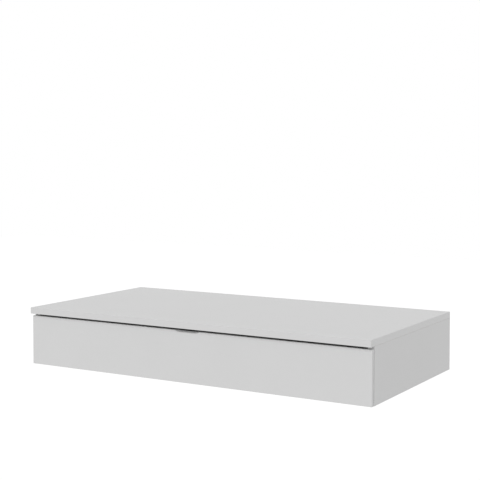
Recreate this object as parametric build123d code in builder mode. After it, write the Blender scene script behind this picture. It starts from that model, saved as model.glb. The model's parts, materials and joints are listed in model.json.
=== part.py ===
from build123d import *
from math import asin, cos, radians, sin, tan
import os

# Wall-hung sideboard with one wide drawer on full-extension ball slides. Millimetres.
# +X is to the right seen from the front, +Z is up and the front faces -Y. The origin is the
# centre of the four wall-screw holes, on the wall plane. A depth called "out" is the distance
# out from the wall, along -Y. Left and right are as seen from the front.

# Overall size
width = 900.0
depth = 455.0
height = 138.0

# Boards, edge bands and the back
board = 15.0
band = 1.0
band_rounding = min(0.5, 0.8 * band)
back_thickness = 3.0
groove_depth = 6.0
groove_play = 0.2
panel_end_play = 0.5

# Rear rails and the holes for the wall screws
upper_rail_height = 50.0
lower_rail_height = 36.0
wall_hole_radius = 3.5
wall_hole_span = 700.0
driver_hole_radius = 8.0

# Drawer front and the gaps round it
front_recess = 7.5
front_thickness = 9.0
front_inset = 1.0
front_gap = 5.6
front_rounding = 0.6
pad_thickness = 0.8
pad_radius = 4.5
pad_inset = 14.0
scoop_width = 66.0
scoop_depth = 4.0
scoop_slope_run = 14.0
scoop_rear_width = 58.0
scoop_rear_depth = 0.8

# Drawer box
box_board = 12.0
box_headroom = 16.0
box_lift = 7.0
box_band = 0.4
box_overhang = 1.0
box_groove_depth = 6.0
bottom_thickness = 3.0
bottom_lift = 10.0
batten_width = 40.0

# Ball slides, three members each
slide_thickness = 12.7
slide_height = 45.0
slide_step = 50.0
slide_setback = 2.0
slide_rear_clearance = 10.0
cam_to_slide = 5.0
steel = 1.2
bend_radius = 0.8
outer_lip = 1.4
flange_reach = 10.4
ball_radius = 1.6
ball_clearance = 0.2
ball_pitch = 18.0
cage_end_margin = 4.0
cage_thickness = 0.8
cage_rim = 0.8
member_clearance = 0.4
drawer_flange_clearance = 1.2
bumper_length = 5.7
bumper_half_height = 14.0
rear_play = 0.3
window_length = 60.0
window_height = 14.0
window_offset = 90.0
slot_length = 14.0
slot_height = 5.0
slot_shift = 24.0

# Release lever on each drawer member
lever_length = 70.0
lever_height = 8.0
lever_thickness = 2.6
lever_boss_radius = 5.5
lever_margin = 5.0
lever_tab_length = 12.0
lever_tab_height = 11.0
lever_tab_corner = 2.5
rivet_radius = 2.0
rivet_clearance = 0.05
rivet_head_radius = 3.4
rivet_head_height = 0.8
lever_side_play = 0.2

# Screws
screw_radius = 1.75
pan_head_radius = 3.5
pan_head_height = 2.0
pan_head_dome = 1.2
screw_tip = 1.0
sunk_head_radius = 3.4
sunk_angle = 90.0
slide_screw_length = 13.0
drawer_slide_screw_length = 11.0
front_screw_length = 18.0
box_screw_length = 35.0
batten_screw_length = 30.0
recess_length = 3.6
recess_width = 0.8
recess_depth = 1.1
clearance = 0.1

# Cams, cam bolts and dowels
cam_radius = 7.5
cam_depth = 12.0
cam_sink = 0.2
cam_reach = 24.0
cam_channel_past = 3.0
cam_slot_length = 9.0
cam_slot_width = 1.8
cam_slot_depth = 1.5
cap_radius = 8.6
cap_thickness = 0.8
cap_chamfer = 0.4
bolt_thread_radius = 2.5
bolt_thread_length = 11.0
bolt_shank_radius = 3.0
bolt_neck_radius = 2.0
bolt_neck_length = 4.0
bolt_head_radius = 3.2
bolt_head_length = 4.0
bolt_bore_radius = 3.6
dowel_radius = 4.0
dowel_in_face = 11.0
dowel_in_edge = 19.0
dowel_chamfer = 1.0
blind_play = 0.5

# Where the fixings sit
front_fixing_inset = 50.0
rear_fixing_out = 60.0
fixing_pitch = 32.0
rail_cam_lift = 11.0
rail_dowel_drop = 9.0
slide_screw_offsets = (35.0, 163.0)
slide_screw_rear_inset = 45.0
drawer_slide_screw_front_inset = 25.0
drawer_slide_screw_rear_inset = 50.0
screw_to_lever = 25.0
front_screw_end_inset = 60.0
front_screw_height_inset = 20.0
box_screw_rise = 6.0
box_screw_drop = 20.0
batten_screw_pitch = 20.0

# Heights, from the centre of the wall-screw holes
origin_height = ((height - board - upper_rail_height / 2) + (board + lower_rail_height / 2)) / 2
base = -origin_height
crown = base + height
ceiling = crown - board
floor = base + board
lower_rail_mid = floor + lower_rail_height / 2
upper_rail_mid = ceiling - upper_rail_height / 2

# Widths, from the middle
half_width = width / 2
inner_half = half_width - board
front_half = half_width - front_inset
box_half = inner_half - slide_thickness
box_inner_half = box_half - box_board

# Depths, out from the wall
front_face = depth - front_recess
front_rear = front_face - front_thickness
side_front = front_rear - pad_thickness
groove_outs = (board, board + back_thickness + groove_play)
slide_front = side_front - slide_setback
slide_room = slide_front - board - back_thickness - slide_rear_clearance
slide_length = slide_step * (slide_room // slide_step)
slide_rear = slide_front - slide_length
member_rear = slide_rear + bumper_length + rear_play
member_length = slide_front - member_rear
member_mid = (member_rear + slide_front) / 2
travel = slide_length
ball_run = member_length - travel / 2 - 2 * cage_end_margin
ball_count = int(ball_run // ball_pitch)
cage_length = ball_count * ball_pitch
lever_out = slide_front - travel / 2 + lever_margin + lever_length / 2
box_front = front_rear
box_rear = slide_rear - box_overhang

# Drawer heights
front_top = ceiling - front_gap
box_low = floor + box_lift
box_high = ceiling - box_headroom
bottom_low = box_low + bottom_lift
cam_height = ceiling - cam_reach
slide_mid = cam_height - cam_radius - cam_to_slide - slide_height / 2

# Slide section: u is the distance from the side board, w the height from the slide's middle
middle_web_u = steel + pan_head_height + member_clearance
drawer_web_u = slide_thickness - steel
drawer_flange_u = middle_web_u + steel + drawer_flange_clearance
outer_flange_w = slide_height / 2 - steel
outer_ball_w = outer_flange_w - ball_clearance - ball_radius
middle_flange_w = outer_ball_w - ball_radius - ball_clearance - steel
inner_ball_w = middle_flange_w - ball_clearance - ball_radius
drawer_flange_w = inner_ball_w - ball_radius - ball_clearance - steel
outer_ball_u = (middle_web_u + flange_reach) / 2
inner_ball_u = (drawer_flange_u + flange_reach) / 2
cage_half_width = ball_radius + ball_clearance + cage_rim

UP = (0, 0, 1)
DOWN = (0, 0, -1)
TO_FRONT = (0, -1, 0)
TO_WALL = (0, 1, 0)
SIDES = (("left", -1), ("right", 1))
BOTTOM_CENTRE = (Align.CENTER, Align.CENTER, Align.MIN)
TOP_CENTRE = (Align.CENTER, Align.CENTER, Align.MAX)


def span(a, b):
    """The low and high end of a range given either way round."""
    return (min(a, b), max(a, b))


def both_ways(half):
    """A range that reaches as far to the left as to the right."""
    return (-half, half)


def block(x, out, z, mode=Mode.ADD):
    """Add or cut a rectangular block, from its ranges across, out from the wall and up."""
    with Locations(((x[0] + x[1]) / 2, -(out[0] + out[1]) / 2, (z[0] + z[1]) / 2)):
        Box(x[1] - x[0], out[1] - out[0], z[1] - z[0], mode=mode)


def spot(x, out, z, facing, toward=None):
    """A plane at a point, facing out of a hole's mouth; toward sets its x direction."""
    return Plane(origin=(x, -out, z), x_dir=toward, z_dir=facing)


def inward(sign):
    """The direction from a side board to the middle of the cabinet."""
    return (-sign, 0, 0)


def outward(sign):
    """The direction from the middle of the cabinet to a side board."""
    return (sign, 0, 0)


def drill(planes, radius, hole_depth=None):
    """Drill a hole at each plane, into the material behind it."""
    with Locations(*planes):
        Hole(radius, hole_depth)


def reversed_planes(planes):
    """The same points, facing the other way."""
    return [-plane for plane in planes]


def separate_solids(parts):
    """Pieces that touch, kept as solids of their own in one group."""
    return Compound([part.solid() for part in parts])


def save(part, name):
    """Label a finished piece and write its file."""
    part.label = name
    export_step(part, f"parts/{name}.step")
    print(name, len(part.solids()), round(part.volume))


# Places of the fixings. A joint plane sits where two boards meet: it faces away from the board
# whose face is drilled, into the board whose edge is drilled.
cam_outs = (rear_fixing_out, side_front - front_fixing_inset)
dowel_outs = (cam_outs[0] + fixing_pitch, cam_outs[1] - fixing_pitch)
rail_lows = (floor, ceiling - upper_rail_height)
rail_highs = (floor + lower_rail_height, ceiling)
rail_cam_heights = [low + rail_cam_lift for low in rail_lows]
rail_dowel_heights = [high - rail_dowel_drop for high in rail_highs]


def top_joint_planes(sign, outs):
    """Joints between the top and one side board."""
    return [spot(sign * (inner_half + board / 2), out, ceiling, DOWN) for out in outs]


def bottom_joint_planes(sign, outs):
    """Joints between one side board and the bottom."""
    return [spot(sign * inner_half, out, base + board / 2, inward(sign)) for out in outs]


def rail_joint_planes(sign, heights):
    """Joints between one side board and the rear rails."""
    return [spot(sign * inner_half, board / 2, z, inward(sign)) for z in heights]


def side_cam_planes(sign):
    """Cams in the inner face of a side board, which pull it up to the top."""
    return [spot(sign * inner_half, out, cam_height, inward(sign), UP) for out in cam_outs]


def bottom_cam_planes(sign):
    """Cams in the underside of the bottom."""
    x = sign * (inner_half - cam_reach)
    return [spot(x, out, base, DOWN, outward(sign)) for out in cam_outs]


def rail_cam_planes(sign, heights):
    """Cams in the wall side of the rear rails."""
    x = sign * (inner_half - cam_reach)
    return [spot(x, 0, z, TO_WALL, outward(sign)) for z in heights]


def cabinet_screw_planes(sign):
    """Screws that hold a cabinet member to its side board; the heads lie on the member's web."""
    offsets = (*slide_screw_offsets, slide_length - slide_screw_rear_inset)
    x = sign * (inner_half - steel)
    return [spot(x, slide_front - offset, slide_mid, inward(sign)) for offset in offsets]


def drawer_screw_planes(sign):
    """Screws that hold a drawer member to the drawer's side."""
    outs = (
        slide_front - drawer_slide_screw_front_inset,
        lever_out + lever_length / 2 + screw_to_lever,
        slide_rear + drawer_slide_screw_rear_inset,
    )
    return [spot(sign * (box_half + steel), out, slide_mid, outward(sign)) for out in outs]


wall_holes = [
    (x, z) for x in (-wall_hole_span / 2, wall_hole_span / 2) for z in (lower_rail_mid, upper_rail_mid)
]
front_screw_planes = [
    spot(x, box_front - box_board, z, TO_WALL)
    for x in (-box_inner_half + front_screw_end_inset, 0, box_inner_half - front_screw_end_inset)
    for z in (box_low + front_screw_height_inset, box_high - front_screw_height_inset)
]
box_screw_heights = (bottom_low + bottom_thickness + box_screw_rise, box_high - box_screw_drop)
box_screw_planes = [
    spot(sign * box_half, out, z, outward(sign))
    for _, sign in SIDES
    for out in (box_rear + box_board / 2, box_front - box_board / 2)
    for z in box_screw_heights
]
batten_screw_xs = (-batten_screw_pitch / 2, batten_screw_pitch / 2)
batten_screw_height = box_low + bottom_lift / 2
batten_front_planes = [spot(x, box_front, batten_screw_height, TO_FRONT) for x in batten_screw_xs]
batten_rear_planes = [spot(x, box_rear, batten_screw_height, TO_WALL) for x in batten_screw_xs]

os.makedirs("parts", exist_ok=True)

# Top board
with BuildPart() as top_panel:
    block(both_ways(half_width - band), (0, depth - band), (ceiling, crown))
    block(
        both_ways(inner_half + groove_depth),
        groove_outs,
        (ceiling, ceiling + groove_depth),
        mode=Mode.SUBTRACT,
    )
    for _, sign in SIDES:
        drill(
            top_joint_planes(sign, cam_outs),
            bolt_thread_radius + clearance,
            bolt_thread_length + blind_play,
        )
        drill(
            top_joint_planes(sign, dowel_outs), dowel_radius + clearance, dowel_in_face + blind_play
        )
save(top_panel.part, "top_panel")

# Edge bands of the top: one along the front, one on each end, with softened outer edges
with BuildPart() as front_band:
    block(both_ways(half_width), (depth - band, depth), (ceiling, crown))
    fillet(front_band.edges() - front_band.edges().group_by(Axis.Y)[-1], band_rounding)
end_bands = []
for _, sign in SIDES:
    with BuildPart() as end_band:
        block(span(sign * (half_width - band), sign * half_width), (0, depth - band), (ceiling, crown))
        outer_ring = end_band.faces().sort_by(Axis.X)[-1 if sign > 0 else 0].edges()
        fillet(outer_ring.filter_by(Axis.Y), band_rounding)
    end_bands.append(end_band.part)
save(separate_solids([front_band.part, *end_bands]), "top_edge_bands")

# Side boards: cams and holes for the slide on the inner face, bores in the top edge
for side_name, sign in SIDES:
    face = sign * inner_half
    side_bolts = bottom_joint_planes(sign, cam_outs) + rail_joint_planes(sign, rail_cam_heights)
    side_dowels = bottom_joint_planes(sign, dowel_outs) + rail_joint_planes(sign, rail_dowel_heights)
    with BuildPart() as side_panel:
        block(span(face, sign * half_width), (0, side_front - band), (base + band, ceiling))
        block(
            span(face, face + sign * groove_depth),
            groove_outs,
            (base + band, ceiling),
            mode=Mode.SUBTRACT,
        )
        drill(side_cam_planes(sign), cam_radius + clearance, cam_sink + cam_depth + clearance)
        drill(reversed_planes(top_joint_planes(sign, cam_outs)), bolt_bore_radius, cam_reach)
        drill(
            reversed_planes(top_joint_planes(sign, dowel_outs)),
            dowel_radius + clearance,
            dowel_in_edge + blind_play,
        )
        drill(side_bolts, bolt_thread_radius + clearance, bolt_thread_length + blind_play)
        drill(side_dowels, dowel_radius + clearance, dowel_in_face + blind_play)
        drill(
            cabinet_screw_planes(sign), screw_radius + clearance, slide_screw_length + blind_play
        )
    save(side_panel.part, f"side_panel_{side_name}")

# Edge bands of the side boards: one up the front edge and one along the bottom of each
side_bands = []
for _, sign in SIDES:
    outer_end = -1 if sign > 0 else 0
    across = span(sign * inner_half, sign * half_width)
    with BuildPart() as upright_band:
        block(across, (side_front - band, side_front), (base, ceiling))
        front_ring = upright_band.faces().sort_by(Axis.Y)[0].edges()
        bottom_ring = upright_band.faces().sort_by(Axis.Z)[0].edges()
        rounded = front_ring.filter_by(Axis.Z).sort_by(Axis.X)[outer_end]
        fillet([rounded, bottom_ring.sort_by(Axis.Y)[0]], band_rounding)
    with BuildPart() as lower_band:
        block(across, (0, side_front - band), (base, base + band))
        bottom_edges = lower_band.faces().sort_by(Axis.Z)[0].edges().filter_by(Axis.Y)
        fillet(bottom_edges.sort_by(Axis.X)[outer_end], band_rounding)
    side_bands += [upright_band.part, lower_band.part]
save(separate_solids(side_bands), "side_edge_bands")

# Bottom board, between the sides, with its cams in the underside
with BuildPart() as bottom_panel:
    block(both_ways(inner_half), (0, side_front - band), (base, floor))
    block(both_ways(inner_half), groove_outs, (floor - groove_depth, floor), mode=Mode.SUBTRACT)
    for _, sign in SIDES:
        drill(bottom_cam_planes(sign), cam_radius + clearance, cam_sink + cam_depth + clearance)
        drill(reversed_planes(bottom_joint_planes(sign, cam_outs)), bolt_bore_radius, cam_reach)
        drill(
            reversed_planes(bottom_joint_planes(sign, dowel_outs)),
            dowel_radius + clearance,
            dowel_in_edge + blind_play,
        )
save(bottom_panel.part, "bottom_panel")

with BuildPart() as bottom_edge_band:
    block(both_ways(inner_half), (side_front - band, side_front), (base, floor))
save(bottom_edge_band.part, "bottom_edge_band")

# Rear rails, which take the wall screws
for rail_name, rail_low, rail_high in zip(("lower", "upper"), rail_lows, rail_highs):
    with BuildPart() as rear_rail:
        block(both_ways(inner_half), (0, board), (rail_low, rail_high))
        cam_z = [rail_low + rail_cam_lift]
        dowel_z = [rail_high - rail_dowel_drop]
        for _, sign in SIDES:
            drill(
                rail_cam_planes(sign, cam_z), cam_radius + clearance, cam_sink + cam_depth + clearance
            )
            drill(reversed_planes(rail_joint_planes(sign, cam_z)), bolt_bore_radius, cam_reach)
            drill(
                reversed_planes(rail_joint_planes(sign, dowel_z)),
                dowel_radius + clearance,
                dowel_in_edge + blind_play,
            )
        drill(
            [spot(x, 0, z, TO_WALL) for x, z in wall_holes if rail_low < z < rail_high],
            wall_hole_radius,
        )
    save(rear_rail.part, f"rear_rail_{rail_name}")

# Thin back, held in the grooves, with holes for the head and driver of each wall screw
with BuildPart() as back_panel:
    block(
        both_ways(inner_half + groove_depth - panel_end_play),
        (board, board + back_thickness),
        (floor - groove_depth + panel_end_play, ceiling + groove_depth - panel_end_play),
    )
    drill([spot(x, board + back_thickness, z, TO_FRONT) for x, z in wall_holes], driver_hole_radius)
save(back_panel.part, "back_panel")

# Cam housing: a drum with a channel for the bolt's head and a cross slot in its face
with BuildPart() as cam_drum:
    with Locations((0, 0, -cam_sink)):
        Cylinder(cam_radius, cam_depth, align=TOP_CENTRE)
    drill(
        [Plane(origin=(cam_radius, 0, -board / 2), z_dir=(1, 0, 0))],
        bolt_bore_radius,
        cam_radius + cam_channel_past,
    )
    with Locations((0, 0, -cam_sink)):
        Box(cam_slot_length, cam_slot_width, cam_slot_depth, align=TOP_CENTRE, mode=Mode.SUBTRACT)
        Box(cam_slot_width, cam_slot_length, cam_slot_depth, align=TOP_CENTRE, mode=Mode.SUBTRACT)

# Cam bolt: threaded into one board, its head caught by the cam in the other
with BuildPart() as cam_bolt:
    head_start = cam_reach - bolt_head_length / 2
    Cylinder(bolt_thread_radius, bolt_thread_length, align=TOP_CENTRE)
    Cylinder(bolt_shank_radius, head_start - bolt_neck_length, align=BOTTOM_CENTRE)
    Cylinder(bolt_neck_radius, head_start, align=BOTTOM_CENTRE)
    with Locations((0, 0, head_start)):
        Cylinder(bolt_head_radius, bolt_head_length, align=BOTTOM_CENTRE)

with BuildPart() as dowel:
    with Locations((0, 0, -dowel_in_face)):
        Cylinder(dowel_radius, dowel_in_face + dowel_in_edge, align=BOTTOM_CENTRE)
    chamfer(dowel.edges(), dowel_chamfer)

with BuildPart() as cam_cap:
    Cylinder(cap_radius, cap_thickness, align=BOTTOM_CENTRE)
    chamfer(cam_cap.edges().group_by(Axis.Z)[-1], cap_chamfer)

cam_planes = []
bolt_planes = []
dowel_planes = []
cap_planes = []
for _, sign in SIDES:
    cam_planes += side_cam_planes(sign) + bottom_cam_planes(sign)
    cam_planes += rail_cam_planes(sign, rail_cam_heights)
    bolt_planes += top_joint_planes(sign, cam_outs) + bottom_joint_planes(sign, cam_outs)
    bolt_planes += rail_joint_planes(sign, rail_cam_heights)
    dowel_planes += top_joint_planes(sign, dowel_outs) + bottom_joint_planes(sign, dowel_outs)
    dowel_planes += rail_joint_planes(sign, rail_dowel_heights)
    cap_planes += side_cam_planes(sign)
for node_name, pattern, planes in (
    ("cam_housings", cam_drum.part, cam_planes),
    ("cam_bolts", cam_bolt.part, bolt_planes),
    ("dowels", dowel.part, dowel_planes),
    ("cam_caps", cam_cap.part, cap_planes),
):
    with BuildPart() as fixings:
        with Locations(*planes):
            add(pattern)
    save(fixings.part, node_name)

# Soft pads on the front edges of the side boards, where the drawer front comes to rest
with BuildPart() as bumper_pads:
    pad_heights = (base + pad_inset, front_top - pad_inset)
    with Locations(
        *[
            spot(sign * (inner_half + board / 2), side_front, z, TO_FRONT)
            for _, sign in SIDES
            for z in pad_heights
        ]
    ):
        Cylinder(pad_radius, pad_thickness, align=BOTTOM_CENTRE)
save(bumper_pads.part, "bumper_pads")


def scoop_outline(out, mouth_width, depth):
    """The outline of the finger scoop at one depth: a flat floor that curves up at both ends."""
    half_mouth = mouth_width / 2
    half_floor = half_mouth - scoop_slope_run
    low = front_top - depth
    rise = depth + clearance
    end_radius = (scoop_slope_run**2 + depth**2) / (2 * depth)
    mid_angle = asin(scoop_slope_run / end_radius) / 2
    mid_run = end_radius * sin(mid_angle)
    mid_rise = end_radius * (1 - cos(mid_angle))
    with BuildSketch(Plane.XZ.offset(out)) as outline:
        with BuildLine():
            Polyline(
                (half_mouth, front_top),
                (half_mouth, low + rise),
                (-half_mouth, low + rise),
                (-half_mouth, front_top),
            )
            ThreePointArc(
                (-half_mouth, front_top), (-half_floor - mid_run, low + mid_rise), (-half_floor, low)
            )
            Line((-half_floor, low), (half_floor, low))
            ThreePointArc(
                (half_floor, low), (half_floor + mid_run, low + mid_rise), (half_mouth, front_top)
            )
        make_face()
    return outline.sketch


# Drawer front, with a finger scoop in the middle of its top edge that slopes down to the face
with BuildPart() as drawer_front:
    block(both_ways(front_half), (front_rear, front_face), (base, front_top))
    loft(
        [
            scoop_outline(front_rear, scoop_rear_width, scoop_rear_depth),
            scoop_outline(front_face, scoop_width, scoop_depth),
        ],
        ruled=True,
        mode=Mode.SUBTRACT,
    )
    fillet(drawer_front.faces().sort_by(Axis.Y)[0].edges(), front_rounding)
    drill(front_screw_planes, screw_radius + clearance, front_screw_length + blind_play)
save(drawer_front.part, "drawer_front")

bottom_groove_heights = (bottom_low, bottom_low + bottom_thickness + groove_play)
box_wood_top = box_high - box_band

# Drawer box: inner front and back between two sides, grooved for the thin bottom
with BuildPart() as drawer_inner_front:
    inner_face = box_front - box_board
    block(both_ways(box_inner_half), (inner_face, box_front), (box_low, box_wood_top))
    block(
        both_ways(box_inner_half),
        (inner_face, inner_face + box_groove_depth),
        bottom_groove_heights,
        mode=Mode.SUBTRACT,
    )
    drill(front_screw_planes, screw_radius + clearance)
    drill(box_screw_planes, screw_radius + clearance, box_screw_length + blind_play)
    with Locations(*batten_front_planes):
        CounterSinkHole(
            screw_radius + clearance, sunk_head_radius + clearance, box_board, sunk_angle
        )
save(drawer_inner_front.part, "drawer_inner_front")

with BuildPart() as drawer_back:
    inner_face = box_rear + box_board
    block(both_ways(box_inner_half), (box_rear, inner_face), (box_low, box_wood_top))
    block(
        both_ways(box_inner_half),
        (inner_face - box_groove_depth, inner_face),
        bottom_groove_heights,
        mode=Mode.SUBTRACT,
    )
    drill(box_screw_planes, screw_radius + clearance, box_screw_length + blind_play)
    with Locations(*batten_rear_planes):
        CounterSinkHole(
            screw_radius + clearance, sunk_head_radius + clearance, box_board, sunk_angle
        )
save(drawer_back.part, "drawer_back")

for side_name, sign in SIDES:
    inner_face = sign * box_inner_half
    with BuildPart() as drawer_side:
        block(span(inner_face, sign * box_half), (box_rear, box_front), (box_low, box_wood_top))
        block(
            span(inner_face, inner_face + sign * box_groove_depth),
            (box_rear, box_front),
            bottom_groove_heights,
            mode=Mode.SUBTRACT,
        )
        with Locations(*[plane for plane in box_screw_planes if plane.origin.X * sign > 0]):
            CounterSinkHole(
                screw_radius + clearance, sunk_head_radius + clearance, box_board, sunk_angle
            )
        drill(
            drawer_screw_planes(sign),
            screw_radius + clearance,
            drawer_slide_screw_length + blind_play,
        )
    save(drawer_side.part, f"drawer_side_{side_name}")

with BuildPart() as drawer_edge_bands:
    band_heights = (box_wood_top, box_high)
    for _, sign in SIDES:
        block(span(sign * box_inner_half, sign * box_half), (box_rear, box_front), band_heights)
    block(both_ways(box_inner_half), (box_front - box_board, box_front), band_heights)
    block(both_ways(box_inner_half), (box_rear, box_rear + box_board), band_heights)
save(drawer_edge_bands.part, "drawer_edge_bands")

with BuildPart() as drawer_bottom:
    reach = box_groove_depth - panel_end_play
    block(
        both_ways(box_inner_half + reach),
        (box_rear + box_board - reach, box_front - box_board + reach),
        (bottom_low, bottom_low + bottom_thickness),
    )
save(drawer_bottom.part, "drawer_bottom")

# Batten under the middle of the drawer bottom
with BuildPart() as drawer_batten:
    block(
        both_ways(batten_width / 2),
        (box_rear + box_board, box_front - box_board),
        (box_low, bottom_low),
    )
    drill(
        batten_front_planes + batten_rear_planes,
        screw_radius + clearance,
        batten_screw_length + blind_play,
    )
save(drawer_batten.part, "drawer_batten")


def cross_recess():
    """Cut a cross recess down from z = 0 at each active location."""
    Box(recess_length, recess_width, recess_depth, align=TOP_CENTRE, mode=Mode.SUBTRACT)
    Box(recess_width, recess_length, recess_depth, align=TOP_CENTRE, mode=Mode.SUBTRACT)


def pan_screw(length):
    """A pan-head screw: the head stands above z = 0 and the shank runs down from it."""
    with BuildPart() as screw:
        Cylinder(pan_head_radius, pan_head_height, align=BOTTOM_CENTRE)
        fillet(screw.edges().group_by(Axis.Z)[-1], pan_head_dome)
        Cylinder(screw_radius, length, align=TOP_CENTRE)
        chamfer(screw.edges().group_by(Axis.Z)[0], screw_tip)
        with Locations((0, 0, pan_head_height)):
            cross_recess()
    return screw.part


def sunk_screw(length):
    """A countersunk screw, flush with z = 0, with its shank running down."""
    cone_height = (sunk_head_radius - screw_radius) / tan(radians(sunk_angle / 2))
    with BuildPart() as screw:
        Cone(screw_radius, sunk_head_radius, cone_height, align=TOP_CENTRE)
        Cylinder(screw_radius, length, align=TOP_CENTRE)
        chamfer(screw.edges().group_by(Axis.Z)[0], screw_tip)
        cross_recess()
    return screw.part


# Screws: one of each kind is made and placed at its planes
cabinet_planes = cabinet_screw_planes(-1) + cabinet_screw_planes(1)
drawer_planes = drawer_screw_planes(-1) + drawer_screw_planes(1)
for node_name, pattern, planes in (
    ("slide_screws_cabinet", pan_screw(slide_screw_length), cabinet_planes),
    ("slide_screws_drawer", pan_screw(drawer_slide_screw_length), drawer_planes),
    ("drawer_front_screws", pan_screw(front_screw_length), front_screw_planes),
    ("drawer_box_screws", sunk_screw(box_screw_length), box_screw_planes),
    ("batten_screws", sunk_screw(batten_screw_length), batten_front_planes + batten_rear_planes),
):
    with BuildPart() as screws:
        with Locations(*planes):
            add(pattern)
    save(screws.part, node_name)


def rolled_section(centre_line, sign, out):
    """The section of a slide member rolled from strip, from its centre line in u and w."""
    with BuildSketch(Plane.XZ.offset(out)) as section:
        with BuildLine():
            FilletPolyline(
                *[(sign * (inner_half - u), slide_mid + w) for u, w in centre_line],
                radius=bend_radius,
            )
            offset(amount=steel / 2, side=Side.BOTH)
        make_face()
    return section.sketch


def ball_points(sign, u, w):
    """Centres of the balls of one slide in the raceways above and below its middle."""
    first = member_mid - (ball_count - 1) * ball_pitch / 2
    return [
        (sign * (inner_half - u), -(first + step * ball_pitch), slide_mid + level * w)
        for level in (-1, 1)
        for step in range(ball_count)
    ]


outer_line_w = outer_flange_w + steel / 2
middle_line_w = middle_flange_w + steel / 2
drawer_line_w = drawer_flange_w + steel / 2
outer_line = [
    (flange_reach, outer_line_w - outer_lip),
    (flange_reach, outer_line_w),
    (steel / 2, outer_line_w),
    (steel / 2, -outer_line_w),
    (flange_reach, -outer_line_w),
    (flange_reach, outer_lip - outer_line_w),
]
middle_line = [
    (flange_reach, middle_line_w),
    (middle_web_u + steel / 2, middle_line_w),
    (middle_web_u + steel / 2, -middle_line_w),
    (flange_reach, -middle_line_w),
]
drawer_line = [
    (drawer_flange_u, drawer_line_w),
    (drawer_web_u + steel / 2, drawer_line_w),
    (drawer_web_u + steel / 2, -drawer_line_w),
    (drawer_flange_u, -drawer_line_w),
]

for side_name, sign in SIDES:
    # Cabinet member, screwed to the side board
    with BuildPart() as slide_cabinet:
        extrude(rolled_section(outer_line, sign, slide_rear), amount=slide_length)
        drill(cabinet_screw_planes(sign), screw_radius + clearance, 2 * steel)
        with BuildSketch(Plane.YZ.offset(sign * (inner_half - steel / 2))):
            slot_offsets = [offset_out + slot_shift for offset_out in slide_screw_offsets]
            with Locations(*[(offset_out - slide_front, slide_mid) for offset_out in slot_offsets]):
                SlotOverall(slot_length, slot_height)
        extrude(amount=steel, both=True, mode=Mode.SUBTRACT)
    save(slide_cabinet.part, f"slide_cabinet_{side_name}")

    # Middle member, which runs half as far as the drawer
    with BuildPart() as slide_middle:
        extrude(rolled_section(middle_line, sign, member_rear), amount=member_length)
        with BuildSketch(Plane.YZ.offset(sign * (inner_half - middle_web_u - steel / 2))):
            with Locations(
                (window_offset - member_mid, slide_mid), (-window_offset - member_mid, slide_mid)
            ):
                SlotOverall(window_length, window_height)
        extrude(amount=steel, both=True, mode=Mode.SUBTRACT)
    save(slide_middle.part, f"slide_middle_{side_name}")

    # Drawer member, screwed to the drawer's side, with a hole for the lever's rivet
    web_face = sign * (box_half + steel)
    rivet_plane = spot(web_face, lever_out, slide_mid, outward(sign), TO_FRONT)
    with BuildPart() as slide_drawer:
        extrude(rolled_section(drawer_line, sign, member_rear), amount=member_length)
        drill(drawer_screw_planes(sign), screw_radius + clearance, 2 * steel)
        drill([rivet_plane], rivet_radius + clearance, 2 * steel)
    save(slide_drawer.part, f"slide_drawer_{side_name}")

    # Ball cages and balls, between the cabinet and middle members and the middle and drawer members
    for cage_name, ball_u, ball_w in (
        ("outer", outer_ball_u, outer_ball_w),
        ("inner", inner_ball_u, inner_ball_w),
    ):
        centres = ball_points(sign, ball_u, ball_w)
        with BuildPart() as cage:
            for level in (-1, 1):
                middle_z = slide_mid + level * ball_w
                block(
                    span(
                        sign * (inner_half - ball_u - cage_half_width),
                        sign * (inner_half - ball_u + cage_half_width),
                    ),
                    (member_mid - cage_length / 2, member_mid + cage_length / 2),
                    (middle_z - cage_thickness / 2, middle_z + cage_thickness / 2),
                )
            drill(
                [Plane(origin=centre, z_dir=UP) for centre in centres],
                ball_radius + ball_clearance,
                cage_thickness,
            )
        save(cage.part, f"{cage_name}_cage_{side_name}")
        with BuildPart() as balls:
            with Locations(*centres):
                Sphere(ball_radius)
        save(balls.part, f"{cage_name}_balls_{side_name}")

    # Release lever, which tilts about its rivet in the channel of the drawer member
    with BuildPart() as release_lever:
        with BuildSketch(rivet_plane.offset(lever_side_play)):
            SlotOverall(lever_length, lever_height)
            Circle(lever_boss_radius)
            with Locations(((lever_length - lever_tab_length) / 2, 0)):
                RectangleRounded(lever_tab_length, lever_tab_height, lever_tab_corner)
            Circle(rivet_radius + rivet_clearance, mode=Mode.SUBTRACT)
        extrude(amount=lever_thickness)
    save(release_lever.part, f"release_lever_{side_name}")

# Rivets of the release levers, through the web of each drawer member
with BuildPart() as lever_rivets:
    for _, sign in SIDES:
        stem_length = lever_thickness + 2 * lever_side_play
        with Locations(spot(sign * (box_half + steel), lever_out, slide_mid, outward(sign))):
            with Locations((0, 0, -steel)):
                Cylinder(rivet_radius, steel + stem_length, align=BOTTOM_CENTRE)
            with Locations((0, 0, stem_length)):
                Cylinder(rivet_head_radius, rivet_head_height, align=BOTTOM_CENTRE)
save(lever_rivets.part, "lever_rivets")

# Rubber stops at the rear of the cabinet members
with BuildPart() as slide_stops:
    for _, sign in SIDES:
        block(
            span(sign * (inner_half - steel), sign * (inner_half - flange_reach)),
            (slide_rear, slide_rear + bumper_length),
            (slide_mid - bumper_half_height, slide_mid + bumper_half_height),
        )
save(slide_stops.part, "slide_stops")
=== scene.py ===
"""A wall-hung sideboard with one wide drawer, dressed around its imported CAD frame.

Everything is in metres and in the frame's own axes: +X to the right seen from the front, +Z up,
and the front faces -Y. "Out" is the distance out from the wall, along -Y.
"""

import json
import logging
import math
from collections.abc import Callable, Mapping, Sequence
from dataclasses import dataclass
from enum import Enum
from typing import ClassVar

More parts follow.
